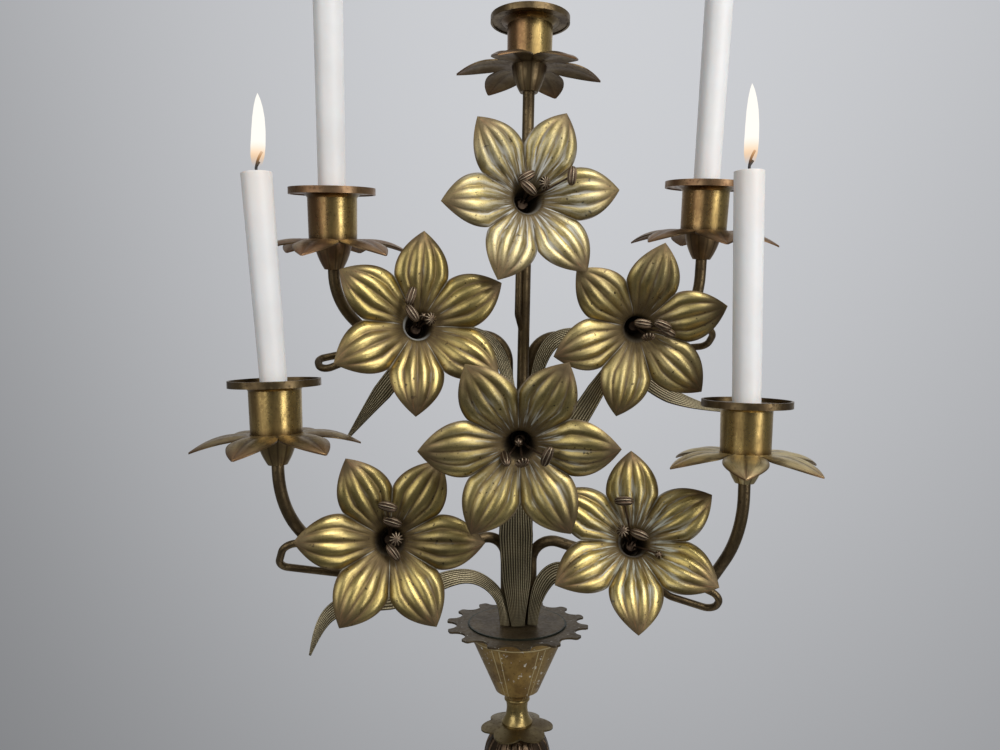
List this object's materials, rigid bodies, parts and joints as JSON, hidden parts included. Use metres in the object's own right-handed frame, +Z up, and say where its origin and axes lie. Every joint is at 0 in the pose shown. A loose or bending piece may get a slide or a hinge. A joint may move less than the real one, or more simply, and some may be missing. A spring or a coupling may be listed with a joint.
{
  "type": "tabletop candelabra",
  "caption": "Brass candelabra with a vase on a knopped round foot, bent arms, long leaves and ribbed lilies; candles stand in lift-out drip pans over petal saucers.",
  "frame": {"origin": "on the stem axis, on the flat ring under the foot", "axes": "+Z up the stem, the lilies face -Y, +X to the right of someone looking at the lilies"},
  "size_m": [0.441, 0.2451, 0.7799],
  "materials": {
    "turned_brass": "aged, satin, browned in the hollows",
    "knop_bronze": "aged, satin, browned in the hollows",
    "plate_brass": "aged, satin, browned in the hollows",
    "vase_brass": "aged, satin, browned in the hollows",
    "rod_brass": "aged, satin, browned in the hollows",
    "leaf_brass": "aged, satin, browned in the hollows",
    "lily_brass": "aged, satin, browned in the hollows",
    "stamen_brass": "aged, satin, browned in the hollows",
    "saucer_brass": "aged, satin, browned in the hollows",
    "cup_brass": "aged, satin, browned in the hollows",
    "steel_fixings": "plain turned",
    "candle_wax": "smooth wax"
  },
  "bodies": {
    "stand": {"foot": "turned_brass", "lower_neck": "turned_brass", "vase_neck": "turned_brass", "knop": "knop_bronze", "knop_collar": "plate_brass", "crown_plate": "plate_brass", "crown_disc": "plate_brass", "vase": "vase_brass", "stem_socket": "steel_fixings", "tie_nuts": "steel_fixings", "tie_rod": "steel_fixings", "cup_screws": "steel_fixings", "main_stem": "rod_brass", "centre_lily_stem": "rod_brass", "tendril_top": "rod_brass", "tendrils_upper": "rod_brass", "tendrils_lower": "rod_brass", "arm_upper_left": "rod_brass", "arm_upper_right": "rod_brass", "arm_lower_left": "rod_brass", "arm_lower_right": "rod_brass", "leaf_upright": "leaf_brass", "leaf_upper_left": "leaf_brass", "leaf_upper_right": "leaf_brass", "leaf_lower_left": "leaf_brass", "leaf_lower_right": "leaf_brass", "leaf_middle_right": "leaf_brass", "lily_top": "lily_brass", "stamens_top": "stamen_brass", "lily_upper_left": "lily_brass", "stamens_upper_left": "stamen_brass", "lily_upper_right": "lily_brass", "stamens_upper_right": "stamen_brass", "lily_centre": "lily_brass", "stamens_centre": "stamen_brass", "lily_lower_left": "lily_brass", "stamens_lower_left": "stamen_brass", "lily_lower_right": "lily_brass", "stamens_lower_right": "stamen_brass", "lily_ferrules": "stamen_brass", "petal_saucer_top": "saucer_brass", "candle_cup_top": "cup_brass", "petal_saucer_upper_left": "saucer_brass", "candle_cup_upper_left": "cup_brass", "petal_saucer_upper_right": "saucer_brass", "candle_cup_upper_right": "cup_brass", "petal_saucer_lower_left": "saucer_brass", "candle_cup_lower_left": "cup_brass", "petal_saucer_lower_right": "saucer_brass", "candle_cup_lower_right": "cup_brass"},
    "pan_top": {"drip_pan_top": "cup_brass"},
    "pan_upper_left": {"drip_pan_upper_left": "cup_brass"},
    "pan_upper_right": {"drip_pan_upper_right": "cup_brass"},
    "pan_lower_left": {"drip_pan_lower_left": "cup_brass"},
    "pan_lower_right": {"drip_pan_lower_right": "cup_brass"},
    "wax_upper_left": {"candle_upper_left": "candle_wax"},
    "wax_upper_right": {"candle_upper_right": "candle_wax"},
    "wax_lower_left": {"candle_lower_left": "candle_wax"},
    "wax_lower_right": {"candle_lower_right": "candle_wax"}
  },
  "joints": [
    {"name": "drip_pan_lift_top", "type": "slide", "parent": "stand", "child": "pan_top", "axis": [0.0209, 0, 0.9998], "range_m": [0, 0.04]},
    {"name": "drip_pan_lift_upper_left", "type": "slide", "parent": "stand", "child": "pan_upper_left", "axis": [0, -0.1219, 0.9925], "range_m": [0, 0.04]},
    {"name": "drip_pan_lift_upper_right", "type": "slide", "parent": "stand", "child": "pan_upper_right", "axis": [0.026, -0.1045, 0.9942], "range_m": [0, 0.04]},
    {"name": "drip_pan_lift_lower_left", "type": "slide", "parent": "stand", "child": "pan_lower_left", "axis": [-0.0262, -0.0087, 0.9996], "range_m": [0, 0.04]},
    {"name": "drip_pan_lift_lower_right", "type": "slide", "parent": "stand", "child": "pan_lower_right", "axis": [0.0175, -0.0087, 0.9998], "range_m": [0, 0.04]},
    {"name": "candle_lift_upper_left", "type": "slide", "parent": "pan_upper_left", "child": "wax_upper_left", "axis": [0, -0.1219, 0.9925], "range_m": [0, 0.06]},
    {"name": "candle_lift_upper_right", "type": "slide", "parent": "pan_upper_right", "child": "wax_upper_right", "axis": [0.026, -0.1045, 0.9942], "range_m": [0, 0.06]},
    {"name": "candle_lift_lower_left", "type": "slide", "parent": "pan_lower_left", "child": "wax_lower_left", "axis": [-0.068, -0.0087, 0.9976], "range_m": [0, 0.06]},
    {"name": "candle_lift_lower_right", "type": "slide", "parent": "pan_lower_right", "child": "wax_lower_right", "axis": [-0.0035, -0.0087, 1], "range_m": [0, 0.06]}
  ]
}
